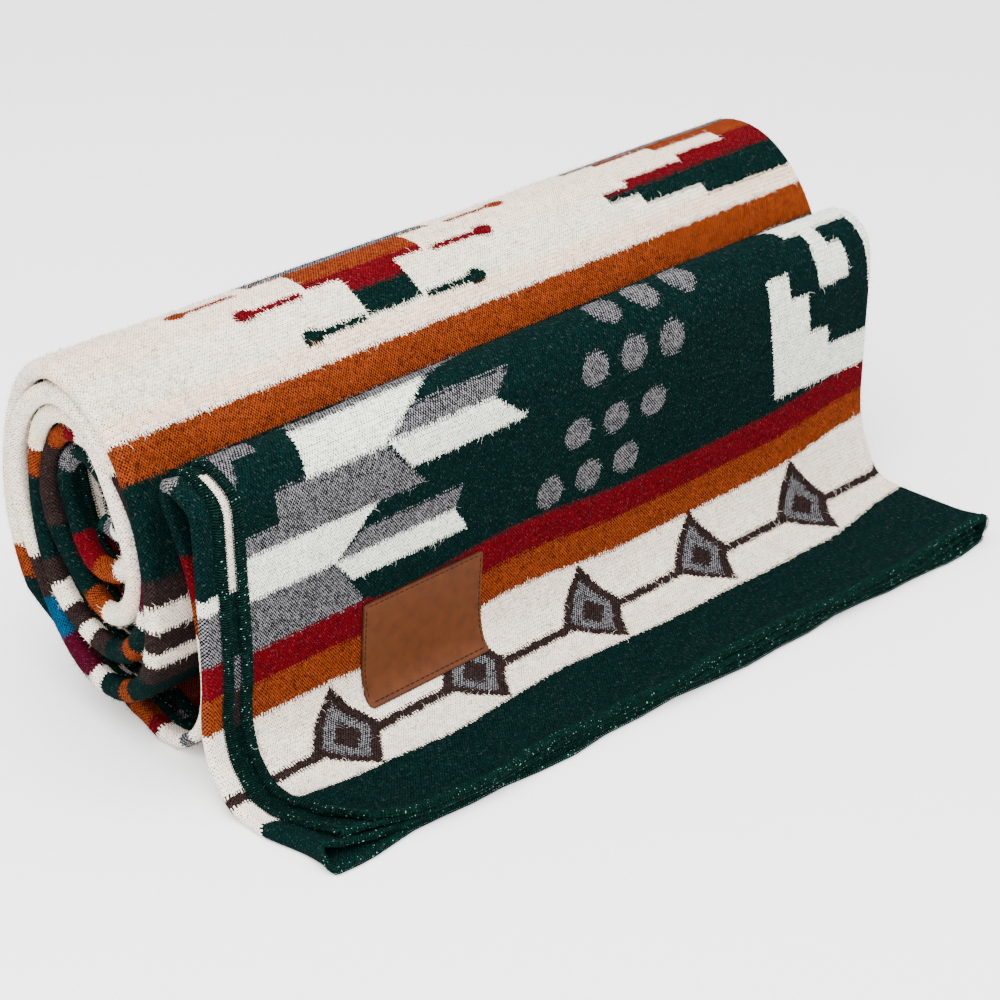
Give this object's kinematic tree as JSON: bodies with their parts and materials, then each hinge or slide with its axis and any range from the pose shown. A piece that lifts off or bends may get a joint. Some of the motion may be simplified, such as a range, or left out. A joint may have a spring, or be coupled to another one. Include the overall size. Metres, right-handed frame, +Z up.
{
  "type": "rolled wool blanket",
  "caption": "Wool blanket folded in four across its width and rolled up, its loose end turned down over the front and out on the floor, with a sewn-on leather patch.",
  "frame": {"origin": "centre of the footprint on the surface that the rolled blanket rests on", "axes": "+X along the roll, towards its right end as seen from the loose end; +Y from the loose end towards the back of the roll; +Z up"},
  "size_m": [0.5224, 0.2904, 0.2139],
  "materials": {
    "wool": "matte brushed wool weave",
    "leather": "satin tan leather"
  },
  "bodies": {
    "root": {"blanket": "wool", "label": "leather"}
  },
  "joints": []
}
